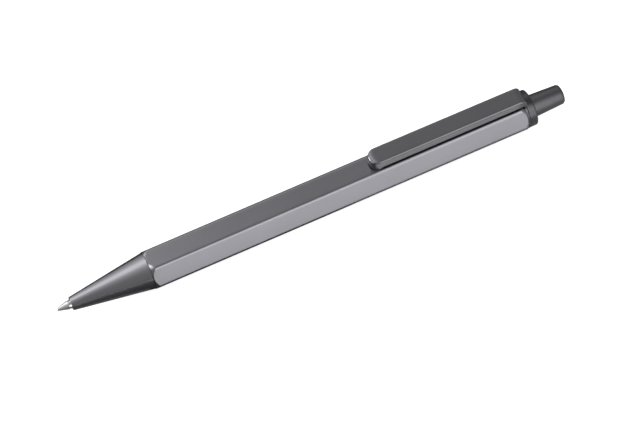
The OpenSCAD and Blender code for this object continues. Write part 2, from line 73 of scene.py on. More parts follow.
# Places that the frame gives
JOINT_X, BARREL_END_X = ends("barrel")
NOSE_FRONT_X, SPIGOT_END_X = ends("nose_cone")
RING_FRONT_X, RING_BACK_X = ends("clip_ring")
CLIP_FREE_X, CLIP_LEG_X = ends("clip_arm")
COLLAR_FRONT_X, COLLAR_BACK_X = ends("rear_collar")
BUTTON_FRONT_X, BUTTON_END_X = ends("push_button")
BALL_FRONT_X, BALL_BACK_X = ends("point_ball")
POINT_SOCKET_X, POINT_BACK_X = ends("refill_point")
SLEEVE_FRONT_X = ends("guide_sleeve")[0]
SPRING_FRONT_X, SPRING_BACK_X = ends("return_spring")
FLAT_R = half_height("barrel")
AXIS_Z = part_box("barrel")[0].z + FLAT_R
NOSE_R = half_height("nose_cone")
COLLAR_R = half_height("rear_collar")
FLANGE_R = half_height("push_button")
CLIP_TOP_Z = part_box("clip_arm")[1].z
CLIP_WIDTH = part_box("clip_arm")[1].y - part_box("clip_arm")[0].y

# Barrel
EDGE_R = 0.3 * MM
ROLL_R = 1.5 * MM
ROLL_ANGLE = math.radians(18)
BEVEL = 1.1 * MM
FACE_R = FLAT_R - 0.08 * MM
THREAD_R = 3.97 * MM
BORE_R = 3.32 * MM
SEAT_R = 3.52 * MM
MOUTH_BEVEL = 0.15 * MM
THREAD_RUNOUT = 0.5 * MM
BEVEL_RINGS = 7
BARREL_SHARP_ANGLE = math.radians(20)

# Threads
THREAD_PITCH = 0.75 * MM
THREAD_DEPTH = 0.2 * MM
THREAD_NECK = 0.7 * MM
SPIGOT_R = THREAD_R - 0.05 * MM

# Nose cone
NOSE_RIM_R = 1.75 * MM
NOSE_RIM_ROUND = 0.18 * MM
NOSE_BASE_BREAK = 0.12 * MM
POINT_HOLE_R = 1.25 * MM
POINT_HOLE_LENGTH = 4.5 * MM
SPRING_SEAT = 11.0 * MM
NECK_BORE_R = 1.77 * MM
SPRING_BORE_R = 2.395 * MM

# Clip
SHEET = 0.6 * MM
CLIP_RISE = 0.25 * MM
CLIP_SIDE_HEIGHT = 2.15 * MM
CLIP_EDGE_R = 0.4 * MM
CLIP_CORNER_R = 2.3 * MM
CLIP_NOSE_R = 0.8 * MM
CLIP_BEND_R = 1.6 * MM
CLIP_BEND_START = 1.9 * MM
CLIP_FOOT_LENGTH = 1.9 * MM
CLIP_DIP_R = 10.0 * MM
CLIP_DIP_LENGTH = 1.9 * MM
CLIP_LIFT_R = 1.1 * MM
# Painted shade on the lower part of the clip's ring: the share its colour falls to, and the heights over
# which it falls
CLIP_PAINTED_SHADE = 0.5
PAINTED_SHADE_BAND = (AXIS_Z + 3.4 * MM, AXIS_Z + 4.4 * MM)
RING_R = FLAT_R - 0.1 * MM
RING_BREAK = 0.1 * MM
CLIP_LEAST_EDGE_R = 0.08 * MM
# Points on the arm: along its bend and its straight, round the plan corner, across half of the free end,
# up the wall, over the edge, and from the edge to the middle line
BEND_POINTS = 9
ARM_POINTS = 70
CORNER_POINTS = 15
FREE_END_POINTS = 5
WALL_POINTS = 5
EDGE_POINTS = 13
LID_POINTS = 5
# Points on the ring: over its leg, round the rest of it, and through its thickness
LEG_POINTS = 121
ROUND_POINTS = 160
DEPTH_POINTS = 12

# Rear collar and push button
COLLAR_ROUND = 0.3 * MM
COLLAR_BREAK = 0.1 * MM
COLLAR_LIP_X = COLLAR_BACK_X - 2.6 * MM
BUTTON_R = 2.9 * MM
BUTTON_END_R = 2.55 * MM
BUTTON_ROUND = 0.8 * MM
BUTTON_DOME = 0.12 * MM
BUTTON_ROUND_STEPS = 10
BUTTON_DOME_STEPS = 12
BUTTON_WALL = 0.75 * MM
FLANGE_THICKNESS = 0.7 * MM
SLIDE_CLEARANCE = 0.07 * MM

# Point of the refill
POINT_R = 1.15 * MM
POINT_CONE_END_X = BALL_FRONT_X + 3.2 * MM
POINT_GROOVE = 0.22 * MM
POINT_GROOVE_DEPTH = 0.16 * MM
CHANNEL_R = 0.5 * MM
LIP_R = 0.43 * MM
LIP_EDGE = 0.04 * MM
LIP_LENGTH = 0.02 * MM
# The seat of the ball, as a share of the ball in front of its back, and its radius against the channel's
SEAT_SHARE = 0.1
SEAT_NARROWING = 0.9
# Corners of the groove, as shares of its width in front of the end of the cone
GROOVE_CORNERS = (1, 0.7, 0.1, -0.2)
POINT_TURN_STEPS = 128
BALL_TURN_STEPS = 64
BALL_STEPS = 32

# Return spring
WIRE_R = 0.175 * MM
COIL_R = 2.05 * MM
SPRING_TURNS = 10
END_PITCH = 0.8 * MM
STEPS_A_TURN = 56
WIRE_SIDES = 14
SPRING_SHARP_ANGLE = math.radians(50)

# Meshes
TURN_STEPS = 192
SHARP_ANGLE = math.radians(26)
MERGE_DISTANCE = 1e-7
LEAST_EDGE = 1e-8
LEAST_DIVISOR = 1e-9

# Finishes: noise scales in cells a metre, bumps as strength and depth, and how far colour and
# roughness vary
GRAIN_SCALE = 5200
GRAIN_BUMP = (0.03, 0.006 * MM)
GRAIN_ROUGHNESS = 0.01
CLOUD_SCALE = 160
CLOUD_SHARE = 0.035
DRAWN_SCALE = 2600
TURNED_SCALE = 3400
TOOL_BUMP = (0.06, 0.004 * MM)
BRIGHT_SCALE = 3600
BRIGHT_BUMP = (0.12, 0.003 * MM)
HAZE_SCALE = 900
HAZE_SHARE = 0.04
HAZE_ROUGHNESS = (-0.03, 0.05)
PEEL_SCALE = 1500
PEEL_BUMP = (0.12, 0.01 * MM)
PEEL_ROUGHNESS = 0.05
FLOW_SCALE = 420
FLOW_SHARE = 0.05
CLEAR_DEPTH = (1.0 * MM, 1.0 * MM, 0.9 * MM)
STREAK_SCALE = 700
STREAK_SHARE = 0.3
STREAK_BUMP = (0.15, 0.02 * MM)
INK_ROUGHNESS = (0.1, 0.22)
INK_COAT = 0.6


def arc(centre, radius, start, end, steps=8):
    """Points along an arc, centre + radius * (cos, sin) of angles evenly spaced from start to end."""
    angles = np.radians(np.linspace(start, end, steps + 1))
    return np.stack([centre[0] + radius * np.cos(angles), centre[1] + radius * np.sin(angles)], 1)


def joined(*parts):
    """One outline from arcs and single points, in order."""
    return np.concatenate([np.atleast_2d(np.asarray(part, float)) for part in parts])


def grid_quads(rows, columns, ring_rows=False, ring_columns=False):
    """Quads between the neighbours of a grid of points that is counted row by row."""
    row = np.arange(rows if ring_rows else rows - 1)[:, None]
    column = np.arange(columns if ring_columns else columns - 1)[None, :]
    next_row, next_column = (row + 1) % rows, (column + 1) % columns
    corners = [row * columns + column, row * columns + next_column,
               next_row * columns + next_column, next_row * columns + column]
    return np.stack(np.broadcast_arrays(*corners), -1).reshape(-1, 4)


def turned(outline, steps=TURN_STEPS, closed=True):
    """Surface of revolution: each (radius, x) point of the outline goes round the pen's axis, as
    y = radius * sin(turn) and z = axis + radius * cos(turn)."""
    turn = np.linspace(0, 2 * np.pi, steps, endpoint=False)[None, :]
    radius, x = outline[:, :1], outline[:, 1:]
    points = np.stack(np.broadcast_arrays(x, radius * np.sin(turn), AXIS_Z + radius * np.cos(turn)), -1)
    return points.reshape(-1, 3), grid_quads(len(outline), steps, closed, True).tolist()


def make(name, shells, material, sharp=SHARP_ANGLE):
    """One object from closed shells of points and faces: doubles at poles and seams are merged, faces
    point outwards, and the shading is smooth except across edges that are sharper than an angle."""
    mesh = bpy.data.meshes.new(name)
    starts = np.cumsum([0] + [len(points) for points, _ in shells])
    points = np.concatenate([points for points, _ in shells])
    faces = [[int(start) + index for index in face]
             for start, (_, shell) in zip(starts, shells) for face in shell]
    mesh.from_pydata(points.tolist(), [], faces)
    solid = bmesh.new()
    solid.from_mesh(mesh)
    bmesh.ops.remove_doubles(solid, verts=solid.verts, dist=MERGE_DISTANCE)
    bmesh.ops.dissolve_degenerate(solid, edges=solid.edges, dist=LEAST_EDGE)
    bmesh.ops.recalc_face_normals(solid, faces=solid.faces)
    solid.to_mesh(mesh)
    solid.free()
    mesh.shade_smooth()
    mesh.set_sharp_from_angle(angle=sharp)
    mesh.materials.append(material)
    piece = bpy.data.objects.new(name, mesh)
    bpy.context.scene.collection.objects.link(piece)
    return piece


class Nodes:
    """Short calls for building a node tree."""

    def __init__(self, tree):
        self.tree = tree
        tree.nodes.clear()

    def add(self, kind, inputs=None, **settings):
        """A node with its settings, and each input either linked from a socket or set to a value."""
        node = self.tree.nodes.new(kind)
        for key, value in settings.items():
            setattr(node, key, value)
        for key, value in (inputs or {}).items():
            if isinstance(value, bpy.types.NodeSocket):
                self.tree.links.new(value, node.inputs[key])
            else:
                node.inputs[key].default_value = value
        return node

    def noise(self, scale, stretch=(1, 1, 1), detail=3.0, roughness=0.55):
        """Noise on the object's own coordinates, drawn out along the axes by the stretch."""
        place = self.add("ShaderNodeTexCoord").outputs["Object"]
        mapped = self.add("ShaderNodeMapping", {"Vector": place, "Scale": stretch})
        made = self.add("ShaderNodeTexNoise", {"Vector": mapped.outputs["Vector"], "Scale": scale,
                                               "Detail": detail, "Roughness": roughness})
        return made.outputs["Fac"]

    def rings(self, scale, detail=2.0):
        """Fine tool marks round the axis: noise that depends only on the place along the pen."""
        return self.noise(scale, (1, 0, 0), detail, 0.7)

    def spread(self, value, low, high, from_low=0.3, from_high=0.7):
        """A value moved from one range to another, held at its ends."""
        made = self.add("ShaderNodeMapRange", {"Value": value, "From Min": from_low,
                                               "From Max": from_high, "To Min": low, "To Max": high})
        return made.outputs["Result"]

    def blend_colours(self, factor, first, second):
        """Colour between two, by a factor."""
        made = self.add("ShaderNodeMix", data_type="RGBA")
        self.tree.links.new(factor, made.inputs[0])
        made.inputs[6].default_value = (*first, 1)
        made.inputs[7].default_value = (*second, 1)
        return made.outputs[2]

    def ramp(self, share, stops, most):
        """Value that goes through stops of (degrees, value), for a share of a full turn from -180."""
        made = self.add("ShaderNodeValToRGB", {"Fac": share})
        points = made.color_ramp.elements
        while len(points) < len(stops):
            points.new(0.5)
        for point, (degrees, value) in zip(points, stops):
            point.position = degrees / 360 + 0.5
            point.color = (value / most, value / most, value / most, 1)
        raised = self.add("ShaderNodeMath", {0: made.outputs["Color"], 1: most}, operation="MULTIPLY")
        return raised.outputs[0]

    def bump(self, height, strength, distance, base=None):
        """Normal tilted by a height map, on top of another normal if there is one."""
        made = self.add("ShaderNodeBump", {"Height": height, "Strength": strength, "Distance": distance})
        if base is not None:
            self.tree.links.new(base, made.inputs["Normal"])
        return made.outputs["Normal"]

    def surface(self, **inputs):
        """Principled shader to the output. Underscores in the names stand for spaces."""
        named = {key.replace("_", " "): value for key, value in inputs.items()}
        shader = self.add("ShaderNodeBsdfPrincipled", named)
        output = self.add("ShaderNodeOutputMaterial")
        self.tree.links.new(shader.outputs["BSDF"], output.inputs["Surface"])
        return shader


def new_material(name):
    """An empty node material."""
    material = bpy.data.materials.new(name)
    material.use_nodes = True
    return material, Nodes(material.node_tree)


def shades(colour, share):
    """A darker and a lighter version of a colour, by a share."""
    return [tuple(part * (1 - share) for part in colour), tuple(part * (1 + share) for part in colour)]


def anodised(name, colour, roughness, marks, painted_shade_share=1):
    """Satin anodised metal: a fine etched grain, faint clouds in the dye, and the marks of the tool that
    cut it before it was etched, lengthwise for a drawn bar and round the axis for a turned piece. With a
    share below one, a painted shade is added: low down the colour falls to that share of itself, which
    darkens the lower part of the clip's ring."""
    material, nodes = new_material(name)
    grain = nodes.noise(GRAIN_SCALE, detail=2.0)
    clouds = nodes.noise(CLOUD_SCALE, (0.35, 1, 1), 4.0, 0.6)
    if marks == "drawn":
        tool = nodes.noise(DRAWN_SCALE, (0.02, 1, 1), 2.0)
    else:
        tool = nodes.rings(TURNED_SCALE)
    tint = nodes.blend_colours(nodes.spread(clouds, 0, 1), *shades(colour, CLOUD_SHARE))
    # Painted shade: below a band of heights the colour darkens to the given share, which dims the lower part
    # of the clip's ring
    if painted_shade_share < 1:
        height = nodes.add("ShaderNodeSeparateXYZ", {0: nodes.add("ShaderNodeTexCoord").outputs["Object"]})
        above_painted_shade = nodes.spread(height.outputs["Z"], 0, 1, *PAINTED_SHADE_BAND)
        dark = [painted_shade_share * part for part in colour]
        tint = nodes.add("ShaderNodeMix", {0: above_painted_shade, 6: (*dark, 1), 7: tint}, data_type="RGBA").outputs[2]
    normal = nodes.bump(tool, *TOOL_BUMP)
    normal = nodes.bump(grain, *GRAIN_BUMP, normal)
    nodes.surface(Base_Color=tint, Metallic=1.0, Normal=normal,
                  Roughness=nodes.spread(grain, roughness - GRAIN_ROUGHNESS, roughness + GRAIN_ROUGHNESS))
    return material


def bright_metal(name, colour, roughness, marks=BRIGHT_SCALE):
    """Plain turned or drawn metal with fine rings and a little variation in its polish."""
    material, nodes = new_material(name)
    rings = nodes.rings(marks)
    haze = nodes.noise(HAZE_SCALE, detail=3.0)
    tint = nodes.blend_colours(nodes.spread(haze, 0, 1), *shades(colour, HAZE_SHARE))
    polish = [roughness + change for change in HAZE_ROUGHNESS]
    nodes.surface(Base_Color=tint, Metallic=1.0, Normal=nodes.bump(rings, *BRIGHT_BUMP),
                  Roughness=nodes.spread(haze, *polish))
    return material


def moulded(name, colour, roughness, clearness=0.0):
    """Moulded plastic: a slight orange peel, faint flow marks along the piece and a soft sheen. Unpigmented
    plastic lets some light through."""
    material, nodes = new_material(name)
    peel = nodes.noise(PEEL_SCALE, detail=2.0)
    flow = nodes.noise(FLOW_SCALE, (0.2, 1, 1), 3.0)
    tint = nodes.blend_colours(nodes.spread(flow, 0, 1), *shades(colour, FLOW_SHARE))
    nodes.surface(Base_Color=tint, Normal=nodes.bump(peel, *PEEL_BUMP),
                  Roughness=nodes.spread(peel, roughness - PEEL_ROUGHNESS, roughness + PEEL_ROUGHNESS),
                  Subsurface_Weight=clearness, Subsurface_Radius=CLEAR_DEPTH)
    return material


def ink_gel(name, colour):
    """Thick ink seen through its own gloss, with slow streaks from its flow along the tube."""
    material, nodes = new_material(name)
    streaks = nodes.noise(STREAK_SCALE, (0.15, 1, 1), 4.0)
    tint = nodes.blend_colours(nodes.spread(streaks, 0, 1), *shades(colour, STREAK_SHARE))
    nodes.surface(Base_Color=tint, Roughness=nodes.spread(streaks, *INK_ROUGHNESS), Coat_Weight=INK_COAT,
                  Normal=nodes.bump(streaks, *STREAK_BUMP))
    return material


BARREL_FINISH = anodised("satin_barrel", (0.27, 0.268, 0.289), 0.26, "drawn")
NOSE_FINISH = anodised("satin_nose", (0.27, 0.268, 0.289), 0.26, "turned")
# The clip's finish has a painted shade on the lower part of its ring
CLIP_FINISH = anodised("satin_clip", (0.2, 0.199, 0.213), 0.30, "drawn", CLIP_PAINTED_SHADE)
COLLAR_FINISH = anodised("satin_collar", (0.1, 0.099, 0.107), 0.30, "turned")
BUTTON_FINISH = anodised("satin_button", (0.14, 0.139, 0.148), 0.40, "turned")
POINT_FINISH = bright_metal("nickel_silver", (0.78, 0.78, 0.79), 0.14)
BALL_FINISH = bright_metal("hard_ball", (0.75, 0.75, 0.76), 0.06, 6000)
SPRING_FINISH = bright_metal("spring_wire", (0.6, 0.61, 0.63), 0.22, 5200)
TUBE_FINISH = bright_metal("nickel_tube", (0.62, 0.62, 0.62), 0.24)
BRASS_FINISH = bright_metal("turned_brass", (0.6, 0.42, 0.15), 0.24)
BLACK_FINISH = moulded("black_plastic", (0.02, 0.02, 0.022), 0.42)
NATURAL_FINISH = moulded("natural_plastic", (0.72, 0.73, 0.7), 0.4, 0.3)
INK_FINISH = ink_gel("blue_ink", (0.01, 0.02, 0.12))


def six_sided(flat, edge_r, roll_r, roll, flat_steps=18, edge_steps=14):
    """Outline of a six-sided bar, as directions and radii from the axis. Polishing has rolled the long
    edges: the outline turns through 60 degrees on three arcs, a wide one, the edge's own and a wide one.
    After a turn t it has moved by the sum over the arcs of radius * (sin t, cos t), taken between the
    arc's ends. The flat is as wide as puts the middle of the turn 30 degrees round from the flat's."""
    sixth = math.pi / 3
    arcs = [(0, roll, roll_r), (roll, sixth - roll, edge_r), (sixth - roll, sixth, roll_r)]

    def moved(turn):
        """Way along the flat and down from it, after a turn."""
        along = sum(radius * (np.sin(np.clip(turn, low, high)) - math.sin(low)) for low, high, radius in arcs)
        down = sum(radius * (math.cos(low) - np.cos(np.clip(turn, low, high))) for low, high, radius in arcs)
        return along, down

    middle_along, middle_down = moved(sixth / 2)
    half = (flat - middle_down) * math.tan(sixth / 2) - middle_along
    along = np.linspace(-half, half, flat_steps, endpoint=False)
    face = np.stack([along, np.full(flat_steps, flat)], 1)
    edge_along, edge_down = moved(np.linspace(0, sixth, edge_steps, endpoint=False))
    side = np.concatenate([face, np.stack([half + edge_along, flat - edge_down], 1)])
    sides = [side @ np.array([[math.cos(a), -math.sin(a)], [math.sin(a), math.cos(a)]])
             for a in np.arange(6) * sixth]
    outline = np.concatenate(sides)
    radius = np.linalg.norm(outline, axis=1)
    return outline / radius[:, None], radius


def make_barrel():
    """Six-sided tube. Its outline has a radius for each direction. At each end a cone cuts it off: the
    place along the pen is slope * (radius - face radius) behind the end face, so the bevel is widest
    on the long edges. The bore follows the turned outline inside."""
    direction, radius = six_sided(FLAT_R, EDGE_R, ROLL_R, ROLL_ANGLE)
    slope = BEVEL / (radius.max() - FACE_R)
    bevel_steps = np.linspace(0, 1, BEVEL_RINGS)[:, None]
    bevel_r = FACE_R + bevel_steps * (radius - FACE_R)
    setback = slope * (bevel_r - FACE_R)
    bore = joined([THREAD_R + MOUTH_BEVEL, BARREL_END_X], [THREAD_R, BARREL_END_X - MOUTH_BEVEL],
                  [THREAD_R, COLLAR_FRONT_X - THREAD_RUNOUT], [SEAT_R, COLLAR_FRONT_X - THREAD_RUNOUT],
                  [SEAT_R, SLEEVE_FRONT_X], [BORE_R, SLEEVE_FRONT_X],
                  [BORE_R, SPIGOT_END_X + THREAD_RUNOUT], [THREAD_R, SPIGOT_END_X + THREAD_RUNOUT],
                  [THREAD_R, JOINT_X + MOUTH_BEVEL], [THREAD_R + MOUTH_BEVEL, JOINT_X])
    bore_r = np.broadcast_to(bore[:, :1], (len(bore), len(radius)))
    bore_x = np.broadcast_to(bore[:, 1:], (len(bore), len(radius)))
    ring_r = np.concatenate([bevel_r, bevel_r[::-1], bore_r])
    ring_x = np.concatenate([JOINT_X + setback, BARREL_END_X - setback[::-1], bore_x])
    points = np.stack([ring_x, ring_r * direction[:, 0], AXIS_Z + ring_r * direction[:, 1]], -1)
    shell = points.reshape(-1, 3), grid_quads(len(ring_r), len(radius), True, True).tolist()
    piece = make("barrel_body", [shell], BARREL_FINISH, BARREL_SHARP_ANGLE)
    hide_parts("barrel")
    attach(piece, "barrel")


def thread(start, end, steps=4):
    """Outline of a thread's ridges, (radius, x): a cosine wave between the root and the crest, with a
    whole number of turns between the two ends."""
    turns = math.floor(abs(end - start) / THREAD_PITCH)
    phase = np.linspace(0, turns, turns * 2 * steps + 1)
    radius = SPIGOT_R - THREAD_DEPTH * (0.5 + 0.5 * np.cos(2 * np.pi * phase))
    return np.stack([radius, start + (end - start) * phase / turns], 1)


def make_nose():
    """Turned cone with a rounded rim, a broken edge at its base, a threaded spigot, and the stepped hole
    for the point, the refill and the spring."""
    slope = (NOSE_R - NOSE_RIM_R) / (JOINT_X - NOSE_FRONT_X - NOSE_RIM_ROUND)
    seat_x = NOSE_FRONT_X + SPRING_SEAT
    hole_x = NOSE_FRONT_X + POINT_HOLE_LENGTH
    outline = joined(
        [POINT_HOLE_R, NOSE_FRONT_X + NOSE_BASE_BREAK], [POINT_HOLE_R + NOSE_BASE_BREAK, NOSE_FRONT_X],
        arc([NOSE_RIM_R - NOSE_RIM_ROUND, NOSE_FRONT_X + NOSE_RIM_ROUND], NOSE_RIM_ROUND, -90, 0),
        [NOSE_R - slope * NOSE_BASE_BREAK, JOINT_X - NOSE_BASE_BREAK], [NOSE_R - NOSE_BASE_BREAK, JOINT_X],
        [SPIGOT_R - THREAD_DEPTH, JOINT_X],
        thread(JOINT_X + THREAD_NECK, SPIGOT_END_X),
        [SPRING_BORE_R, SPIGOT_END_X], [SPRING_BORE_R, seat_x], [NECK_BORE_R, seat_x],
        [NECK_BORE_R, hole_x], [POINT_HOLE_R, hole_x])
    piece = make("nose_shell", [turned(outline)], NOSE_FINISH)
    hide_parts("nose_cone")
    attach(piece, "nose")


def make_collar():
    """Turned collar: a threaded spigot in front, a head with a rounded rear edge, and a stepped bore with
    the lip that keeps the button's flange in."""
    bore_r = BUTTON_R + SLIDE_CLEARANCE
    flange_bore_r = FLANGE_R + SLIDE_CLEARANCE
    outline = joined(
        [flange_bore_r, COLLAR_FRONT_X], thread(COLLAR_FRONT_X, BARREL_END_X - THREAD_NECK),
        [SPIGOT_R - THREAD_DEPTH, RING_BACK_X], [COLLAR_R - COLLAR_BREAK, RING_BACK_X],
        [COLLAR_R, RING_BACK_X + COLLAR_BREAK],
        arc([COLLAR_R - COLLAR_ROUND, COLLAR_BACK_X - COLLAR_ROUND], COLLAR_ROUND, 0, 90),
        [bore_r + MOUTH_BEVEL, COLLAR_BACK_X], [bore_r, COLLAR_BACK_X - MOUTH_BEVEL],
        [bore_r, COLLAR_LIP_X], [flange_bore_r, COLLAR_LIP_X])
    piece = make("collar_head", [turned(outline)], COLLAR_FINISH)
    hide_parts("rear_collar")
    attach(piece, "barrel")


def make_button():
    """Hollow turned button: a flange, a slightly tapered side, a rounded edge and a shallow dome that is
    part of a sphere."""
    crown_r = BUTTON_END_R - BUTTON_ROUND
    dome_x = BUTTON_END_X - BUTTON_DOME
    dome_r = (crown_r ** 2 + BUTTON_DOME ** 2) / (2 * BUTTON_DOME)
    dome_angle = math.degrees(math.asin(crown_r / dome_r))
    dome = arc([0, BUTTON_END_X - dome_r], dome_r, 90 - dome_angle, 90, BUTTON_DOME_STEPS)
    flange_x = BUTTON_FRONT_X + FLANGE_THICKNESS
    inner_r = BUTTON_R - BUTTON_WALL
    floor_x = dome_x - BUTTON_WALL - BUTTON_ROUND
    outline = joined(
        [0, floor_x], [inner_r, floor_x], [inner_r, BUTTON_FRONT_X], [FLANGE_R, BUTTON_FRONT_X],
        [FLANGE_R, flange_x], [BUTTON_R, flange_x], [BUTTON_R, COLLAR_BACK_X],
        arc([crown_r, dome_x - BUTTON_ROUND], BUTTON_ROUND, 0, 90 - dome_angle, BUTTON_ROUND_STEPS),
        dome[1:])
    piece = make("button_cap", [turned(outline, closed=False)], BUTTON_FINISH)
    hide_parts("push_button")
    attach(piece, "button")


def make_point():
    """Turned point: a cone whose lip holds the ball, a fine groove behind the cone and a plain shank with
    the ink channel through it."""
    groove_r = POINT_R - POINT_GROOVE_DEPTH
    seat_x = BALL_BACK_X - SEAT_SHARE * (BALL_BACK_X - BALL_FRONT_X)
    corner_x = [POINT_CONE_END_X - share * POINT_GROOVE for share in GROOVE_CORNERS]
    outline = joined(
        [SEAT_NARROWING * CHANNEL_R, seat_x],
        [LIP_R - LIP_EDGE, POINT_SOCKET_X], [LIP_R, POINT_SOCKET_X + LIP_LENGTH],
        [POINT_R, corner_x[0]], [groove_r, corner_x[1]], [groove_r, corner_x[2]], [POINT_R, corner_x[3]],
        [POINT_R, POINT_BACK_X], [CHANNEL_R, POINT_BACK_X])
    piece = make("point_shell", [turned(outline, POINT_TURN_STEPS)], POINT_FINISH)
    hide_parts("refill_point")
    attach(piece, "refill")


def make_ball():
    """Writing ball: a half circle turned round the pen's axis."""
    radius = (BALL_BACK_X - BALL_FRONT_X) / 2
    outline = arc([0, BALL_FRONT_X + radius], radius, -90, 90, BALL_STEPS)
    piece = make("writing_ball", [turned(outline, BALL_TURN_STEPS, False)], BALL_FINISH)
    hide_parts("point_ball")
    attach(piece, "ball")


def quarter_drop(distance, radius):
    """How far a rounded edge has dropped at a distance from its start: radius - sqrt(radius^2 -
    (radius - distance)^2), and nothing past the radius."""
    inside = np.clip(radius - distance, 0, radius)
    return radius - np.sqrt(np.maximum(radius ** 2 - inside ** 2, 0))


def clip_rim(half_width, corner_r, front_x, stations):
    """Outline of half of the clip seen from above, from the leg along the side, round the corner and
    across the free end to the middle: places, the angle that the outline has turned through, and the
    place in the middle of the clip that each point looks at."""
    turned_by = np.linspace(0, np.pi / 2, CORNER_POINTS)[1:]
    middle_x = front_x + corner_r
    side = np.stack([stations, np.full(len(stations), half_width)], 1)
    corner = np.stack([middle_x - corner_r * np.sin(turned_by),
                       half_width - corner_r + corner_r * np.cos(turned_by)], 1)
    across = np.linspace(half_width - corner_r, 0, FREE_END_POINTS)[1:]
    free_end = np.stack([np.full(len(across), front_x), across], 1)
    outline = np.concatenate([side, corner, free_end])
    angle = np.concatenate([0 * stations, turned_by, np.full(len(across), np.pi / 2)])
    return outline, angle, np.maximum(outline[:, 0], middle_x)


def clip_surface(half_width, inset):
    """Surface of the arm, moved in by an inset: each column goes up the wall, over an edge and on to the
    middle line. The edge's radius grows from the side's to the free end's with the square of the sine of
    the outline's turn, r = side + (end - side) * sin^2. On the edge, a point at an angle t has come in
    by r * (1 - cos t) and is r * (1 - sin t) below the crown. The wall's lower edge climbs by 1 in 1
    from the foot at the free end to the height of the sides, and the free end itself is lifted off."""
    foot_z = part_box("clip_arm")[0].z
    side_z = CLIP_TOP_Z - CLIP_RISE - CLIP_SIDE_HEIGHT
    front_x, corner_r = CLIP_FREE_X + inset, CLIP_CORNER_R - inset
    slope_start = CLIP_FREE_X + CLIP_FOOT_LENGTH
    bend_end_x = CLIP_LEG_X - CLIP_BEND_START
    stations = np.concatenate([np.linspace(CLIP_LEG_X, bend_end_x, BEND_POINTS),
                               np.linspace(bend_end_x, front_x + corner_r, ARM_POINTS)[1:]])
    outline, angle, middle = clip_rim(half_width - inset, corner_r, front_x, stations)
    edge_r = CLIP_EDGE_R + (CLIP_NOSE_R - CLIP_EDGE_R) * np.sin(angle) ** 2
    edge_r = np.maximum(edge_r - inset, CLIP_LEAST_EDGE_R)
    inwards = np.stack([np.sin(angle), -np.cos(angle)], 1)

    def crown(x):
        """Height of the top along the arm, with the bend at the leg and a shallow arc down to the free
        end, R - sqrt(R^2 - d^2) at a distance d into it."""
        height = CLIP_TOP_Z - inset - CLIP_RISE * (x - CLIP_FREE_X) / (CLIP_LEG_X - CLIP_FREE_X)
        height = height - quarter_drop(RING_BACK_X - inset - x, max(CLIP_BEND_R - inset, 0))
        into_dip = np.clip(CLIP_FREE_X + CLIP_DIP_LENGTH - x, 0, CLIP_DIP_LENGTH)
        return height - CLIP_DIP_R + np.sqrt(CLIP_DIP_R ** 2 - into_dip ** 2)

    bottom = np.clip(foot_z + outline[:, 0] - slope_start, foot_z, side_z)
    bottom = bottom + quarter_drop(outline[:, 0] - front_x, CLIP_LIFT_R)
    wall_top = crown(outline[:, 0]) - edge_r
    up = np.linspace(0, 1, WALL_POINTS)[:-1, None]
    wall = np.stack(np.broadcast_arrays(outline[:, 0], outline[:, 1], bottom + up * (wall_top - bottom)), -1)
    turn = np.linspace(0, np.pi / 2, EDGE_POINTS)[:, None]
    plan = outline + (edge_r * (1 - np.cos(turn)))[..., None] * inwards
    edge = np.concatenate([plan, (crown(plan[..., 0]) - edge_r * (1 - np.sin(turn)))[..., None]], -1)
    to_middle = np.linspace(0, 1, LID_POINTS)[1:, None, None]
    target = np.stack([middle, 0 * middle], 1)
    plan = plan[-1] + to_middle * (target - plan[-1])
    lid = np.concatenate([plan, crown(plan[..., :1])], -1)
    half = np.concatenate([wall, edge, lid])
    other_half = half[:, -2::-1] * [1, -1, 1]
    return np.concatenate([half, other_half], 1)


def make_clip():
    """Pressed clip, as one piece. The arm is a shell between its outer surface and the same surface one
    sheet's thickness further in, closed along the lower edge and at the leg. The leg and the ring are a
    plate whose outline is, in each direction from the axis, the farther of a circle and the rounded end
    of the leg."""
    half_width = CLIP_WIDTH / 2
    outer, inner = clip_surface(half_width, 0), clip_surface(half_width, SHEET)
    rows, columns = outer.shape[:2]
    count = rows * columns
    quads = grid_quads(rows, columns)
    along = np.arange(columns - 1)
    lower = np.stack([along, along + 1, count + along + 1, count + along], 1)
    up = np.arange(rows - 1) * columns
    leg = [np.stack([up, up + columns, count + up + columns, count + up], 1) + side
           for side in (0, columns - 1)]
    faces = np.concatenate([quads, count + quads, lower, *leg]).tolist()
    arm = np.concatenate([outer.reshape(-1, 3), inner.reshape(-1, 3)]), faces
    piece = make("clip", [arm, ring_shell(half_width)], CLIP_FINISH)
    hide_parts("clip_arm", "clip_ring")
    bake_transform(piece)


def leg_radius(angle, half_width, top, edge_r):
    """Distance from the axis to the outline of the leg in each direction, measured from +Z: the side at
    half_width / sin, the top at top / cos, and between them the arc of the rounded corner, where
    the ray meets the circle: centre . ray + sqrt((centre . ray)^2 - |centre|^2 + edge_r^2)."""
    sine, cosine = np.abs(np.sin(angle)), np.cos(angle)
    side = half_width / np.maximum(sine, LEAST_DIVISOR)
    lid = top / np.maximum(cosine, LEAST_DIVISOR)
    centre_y, centre_z = half_width - edge_r, top - edge_r
    dot = centre_y * sine + centre_z * cosine
    corner = dot + np.sqrt(np.maximum(dot ** 2 - centre_y ** 2 - centre_z ** 2 + edge_r ** 2, 0))
    on_side, on_lid = side * cosine <= centre_z, lid * sine <= centre_y
    return np.where(cosine <= 0, 0, np.where(on_side, side, np.where(on_lid, lid, corner)))


